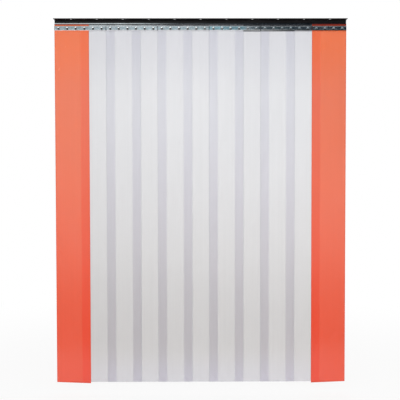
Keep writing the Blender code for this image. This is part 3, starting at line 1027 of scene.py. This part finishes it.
def makeStrip(index, name):
    isEnd = index in (0, len(stripNames) - 1)
    blade, head = stripBoxes[name]
    depth = (head[0].y + head[1].y) / 2
    piece = newPiece(name + "_sheet")
    shapeWith(piece, sheetTree, {
        "Width": sheetWidth, "Thickness": strip["thickness"], "Length": sheetLength, "Rows": strip["rows"],
        "Edge Steps": strip["edgeSteps"], "Cut Drop": sheetFoot - blade[0].z if isEnd else 0.0,
        "Inward": 1.0 if index == 0 else -1.0, "Count": studsPerStrip + 1, "Pitch": studPitch,
        "Radius": bar["studHoleRadius"], "Depth": 4 * strip["thickness"],
        "Middle": (0, 0, studLine - sheetTop), "Turn": acrossWall,
        "Place": (stripMiddles[index], depth, sheetTop), "Lot": index * strip["lotStep"],
        "Material": orangePvc if isEnd else clearPvc})
    settle(piece)
    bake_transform(piece)
    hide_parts(name, name + "_top")


print("strips")
for stripIndex, stripName in enumerate(stripNames):
    makeStrip(stripIndex, stripName)


# Floor, light and camera
studio = {
    "floorGap": 0.05,
    "floorReach": 30.0,
    "floorColor": (0.93, 0.93, 0.93, 1.0),
    "floorRoughness": 0.7,
    "whiteRange": (1.2, 3.6, 0.86, 1.0),
    "white": (1.0, 1.0, 1.0, 1.0),
    "ambient": 0.60,
}


def newQuad(name, low, high):
    mesh = bmesh.new()
    corners = (low, (high[0], low[1], low[2]), high, (low[0], high[1], high[2]))
    mesh.faces.new([mesh.verts.new(corner) for corner in corners])
    return newPiece(name, mesh)


def seenDirectly(tree):
    # 1 for what the camera sees straight, mirrored or through glass, and 0 for light on the object
    path = tree.nodes.new("ShaderNodeLightPath").outputs
    mirrored = calc(tree, "MAXIMUM", path["Is Glossy Ray"], path["Is Transmission Ray"])
    return calc(tree, "MAXIMUM", path["Is Camera Ray"], mirrored)


def makeFloor():
    reach, height = studio["floorReach"], cadBox[0].z - studio["floorGap"]
    floor = newQuad("floor", (-reach, -reach, height), (reach, reach, height))
    material, tree, shader = newMaterial("studioFloor")
    feedNode(tree, shader, {"Base Color": studio["floorColor"], "Roughness": studio["floorRoughness"]})
    glow = addNode(tree, "ShaderNodeEmission", {"Color": studio["white"], "Strength": 1.0})
    level = stretched(tree, objectPlace(tree), (1.0, 1.0, 0.0))
    away = addNode(tree, "ShaderNodeVectorMath", {0: level}, operation="LENGTH").outputs["Value"]
    white = remap(tree, away, *studio["whiteRange"], smooth=True)
    share = product(tree, seenDirectly(tree), white)
    mix = addNode(tree, "ShaderNodeMixShader", {0: share, 1: shader, 2: glow})
    feedNode(tree, tree.nodes["Material Output"], {"Surface": mix})
    floor.data.materials.append(material)


def makeWorld():
    world = bpy.data.worlds.new("studioWorld")
    scene.world = world
    world.use_nodes = True
    tree = world.node_tree
    strength = remap(tree, seenDirectly(tree), 0.0, 1.0, studio["ambient"], 1.0)
    feedNode(tree, tree.nodes["Background"], {"Color": studio["white"], "Strength": strength})


lamps = {
    "front": {"spot": (0.0, -3.8, -0.95), "target": (0.0, 0.0, -1.1), "size": (3.0, 2.2), "power": 46.0,
              "mirrored": False},
    "over": {"spot": (0.0, -1.3, 1.7), "target": (0.0, 0.0, -0.05), "size": (2.6, 0.7), "power": 9.0,
             "mirrored": True},
    "rear": {"spot": (0.6, 3.2, 0.4), "target": (0.0, 0.0, -0.9), "size": (2.2, 2.2), "power": 24.0,
             "mirrored": False},
}


def makeLamps():
    for name, lamp in lamps.items():
        data = bpy.data.lights.new(name, "AREA")
        data.shape = "RECTANGLE"
        data.size, data.size_y = lamp["size"]
        data.energy = lamp["power"]
        item = bpy.data.objects.new(name + "Lamp", data)
        item.location = lamp["spot"]
        item.rotation_euler = (item.location - Vector(lamp["target"])).to_track_quat("Z", "Y").to_euler()
        item.visible_camera = False
        item.visible_glossy = lamp["mirrored"]
        scene.collection.objects.link(item)


# Cards that only shiny surfaces mirror. Two go from pale on the left to dark on the right: one stands before
# the rail and is dimmed at its far left, and one lies over it. A third, dark all over, lies below the camera.
cards = {
    "side": {"low": (-6.0, -5.2, -0.6), "high": (6.0, -5.2, 3.2), "pale": (1.0, 1.0, 1.0, 1.0),
             "dark": (0.045, 0.066, 0.088, 1.0), "darkRange": (0.10, 0.66),
             "strengthRange": (-1.75, -0.45, 0.6784, 1.06)},
    "top": {"low": (-3.0, -1.6, 1.75), "high": (3.0, -0.25, 1.75), "pale": (1.0, 1.0, 1.0, 1.0),
            "dark": (0.02, 0.025, 0.03, 1.0), "darkRange": (-0.7, 1.0), "strength": 1.9},
    "low": {"low": (-3.0, -4.9, -2.10), "high": (3.0, -0.8, -2.10), "pale": (0.02, 0.02, 0.03, 1.0),
            "dark": (0.04, 0.04, 0.05, 1.0), "darkRange": (0.0, 1.0), "strength": 1.0},
}


def makeCards():
    for name, look in cards.items():
        card = newQuad(name + "_card", look["low"], look["high"])
        material, tree, _ = newMaterial(name + "CardCloth")
        side = axes(tree, objectPlace(tree))["X"]
        shade = remap(tree, side, *look["darkRange"], smooth=True)
        strength = look["strength"] if "strength" in look else remap(tree, side, *look["strengthRange"])
        glow = addNode(tree, "ShaderNodeEmission", {
            "Color": mixColors(tree, shade, look["pale"], look["dark"]), "Strength": strength})
        feedNode(tree, tree.nodes["Material Output"], {"Surface": glow})
        card.data.materials.append(material)
        card.visible_camera = False
        card.visible_diffuse = False
        card.visible_transmission = False
        card.visible_shadow = False


view = {
    "spot": (-0.033, -4.5, -0.8825),
    "pitch": -1.949,
    "turn": -0.364,
    "roll": 0.09,
    "focalPixels": 753.6,
    "frameWidth": 400,
    "sensorWidth": 36.0,
    "farthest": 200.0,
}


def makeCamera():
    data = bpy.data.cameras.new("studioCamera")
    data.sensor_width = view["sensorWidth"]
    data.lens = view["focalPixels"] / view["frameWidth"] * view["sensorWidth"]
    data.clip_end = view["farthest"]
    camera = bpy.data.objects.new("studioCamera", data)
    camera.location = view["spot"]
    turns = (90 + view["pitch"], view["roll"], view["turn"])
    camera.rotation_euler = [math.radians(degrees) for degrees in turns]
    scene.collection.objects.link(camera)
    scene.camera = camera


print("studio")
makeFloor()
makeWorld()
makeLamps()
makeCards()
makeCamera()
scene.view_settings.view_transform = "Standard"
